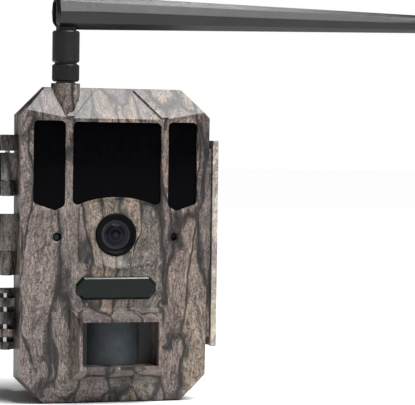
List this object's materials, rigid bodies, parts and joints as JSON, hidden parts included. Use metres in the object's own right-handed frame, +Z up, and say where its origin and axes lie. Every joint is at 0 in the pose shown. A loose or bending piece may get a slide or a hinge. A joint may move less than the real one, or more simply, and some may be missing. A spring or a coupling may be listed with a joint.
{
  "type": "trail camera",
  "caption": "Weatherproof trail camera with a hinged front, infrared lamp windows, a lens, a hooded motion sensor, a battery case and a folding paddle antenna.",
  "frame": {"origin": "mouth of the tripod thread in the flat bottom of the rear case", "axes": "-Y is the way the lens looks, +X is the viewer's right when facing the lens, +Z is up"},
  "size_m": [0.2106, 0.0834, 0.1913],
  "materials": {
    "camo_shell": "satin bark camouflage film over moulded plastic",
    "bracket_plastic": "matt glass-filled plastic",
    "window_black": "polished infrared-passing acrylic",
    "lens_black": "satin black",
    "lens_glass": "coated glass",
    "chip_black": "moulded epoxy",
    "nameplate_black": "domed gloss label with no lettering",
    "sensor_film": "milky ribbed polyethylene",
    "black_plastic": "fine spark-eroded grain",
    "bright_steel": "nickel-plated steel",
    "circuit_board": "solder mask",
    "lamp_resin": "dark clear epoxy",
    "screen_glass": "polished",
    "white_plastic": "satin",
    "card_plastic": "satin",
    "brass_metal": "turned",
    "black_nickel": "black nickel plate",
    "antenna_plastic": "soft satin",
    "seal_rubber": "silicone",
    "cell_wrap": "shrink-wrapped can",
    "plug_rubber": "matt",
    "key_rubber": "silicone",
    "sensor_guide": "smoky clear polycarbonate"
  },
  "bodies": {
    "rear": {"rear_case": "camo_shell", "case_gasket": "seal_rubber", "battery_tray": "black_plastic", "aa_cells": "cell_wrap", "battery_contacts": "bright_steel", "battery_springs": "bright_steel", "hinge_pins": "bright_steel", "latch_pin": "bright_steel", "tripod_insert": "brass_metal", "dc_jack": "black_plastic", "tree_bracket": "bracket_plastic", "bracket_screws": "bright_steel"},
    "front": {"front_housing": "camo_shell", "window_center": "window_black", "window_left": "window_black", "window_right": "window_black", "lens_ring": "lens_black", "lens_barrel": "lens_black", "lens_front_glass": "lens_glass", "lens_rear_glass": "lens_glass", "image_sensor": "chip_black", "nameplate": "nameplate_black", "pir_lens": "sensor_film", "pir_retainer": "black_plastic", "pir_sensor": "bright_steel", "main_board": "circuit_board", "led_board_center": "circuit_board", "led_board_left": "circuit_board", "led_board_right": "circuit_board", "ir_leds_center": "lamp_resin", "ir_leds_left": "lamp_resin", "ir_leds_right": "lamp_resin", "microphone": "bright_steel", "light_sensor": "sensor_guide", "lcd_screen": "screen_glass", "key_switches": "chip_black", "inner_cover": "black_plastic", "cover_screws": "bright_steel", "power_switch": "chip_black", "sd_socket": "bright_steel", "usb_socket": "bright_steel", "antenna_jack": "black_nickel"},
    "latch": {"latch_lever": "camo_shell"},
    "dc_plug": {"dc_plug": "plug_rubber"},
    "antenna_nut": {"antenna_nut": "antenna_plastic"},
    "antenna_base": {"antenna_base": "antenna_plastic", "antenna_hinge_pin": "bright_steel"},
    "antenna_paddle": {"antenna_paddle": "antenna_plastic"},
    "power_slider": {"power_slider": "white_plastic"},
    "sd_card": {"sd_card": "card_plastic"},
    "key_up": {"key_up": "key_rubber"},
    "key_down": {"key_down": "key_rubber"},
    "key_left": {"key_left": "key_rubber"},
    "key_right": {"key_right": "key_rubber"},
    "key_ok": {"key_ok": "key_rubber"}
  },
  "joints": [
    {"name": "front_swing", "type": "hinge", "parent": "rear", "child": "front", "pos_m": [-0.05, -0.02, 0.0752], "axis": [0, 0, -1], "range_deg": [0, 170]},
    {"name": "latch_turn", "type": "hinge", "parent": "rear", "child": "latch", "pos_m": [0.0499, -0.015, 0.0747], "axis": [0, 0, 1], "range_deg": [0, 120]},
    {"name": "dc_plug_pull", "type": "slide", "parent": "rear", "child": "dc_plug", "axis": [0, 0, -1], "range_m": [0, 0.01]},
    {"name": "antenna_nut_turn", "type": "hinge", "parent": "front", "child": "antenna_nut", "pos_m": [-0.0232, -0.0231, 0.155], "axis": [0, 0, 1], "continuous": true},
    {"name": "antenna_swivel", "type": "hinge", "parent": "front", "child": "antenna_base", "pos_m": [-0.0232, -0.0231, 0.168], "axis": [0, 0, 1], "range_deg": [-175, 175]},
    {"name": "antenna_tilt", "type": "hinge", "parent": "antenna_base", "child": "antenna_paddle", "pos_m": [-0.0232, -0.0231, 0.1831], "axis": [0, -1, 0], "range_deg": [0, 90]},
    {"name": "power_slide", "type": "slide", "parent": "front", "child": "power_slider", "axis": [1, 0, 0], "range_m": [0, 0.007]},
    {"name": "sd_card_slide", "type": "slide", "parent": "front", "child": "sd_card", "axis": [0, 0, -1], "range_m": [0, 0.0055]},
    {"name": "key_up_press", "type": "slide", "parent": "front", "child": "key_up", "axis": [0, -1, 0], "range_m": [0, 0.0004], "stiffness_N_per_m": 300},
    {"name": "key_down_press", "type": "slide", "parent": "front", "child": "key_down", "axis": [0, -1, 0], "range_m": [0, 0.0004], "stiffness_N_per_m": 300},
    {"name": "key_left_press", "type": "slide", "parent": "front", "child": "key_left", "axis": [0, -1, 0], "range_m": [0, 0.0004], "stiffness_N_per_m": 300},
    {"name": "key_right_press", "type": "slide", "parent": "front", "child": "key_right", "axis": [0, -1, 0], "range_m": [0, 0.0004], "stiffness_N_per_m": 300},
    {"name": "key_ok_press", "type": "slide", "parent": "front", "child": "key_ok", "axis": [0, -1, 0], "range_m": [0, 0.0004], "stiffness_N_per_m": 300}
  ]
}
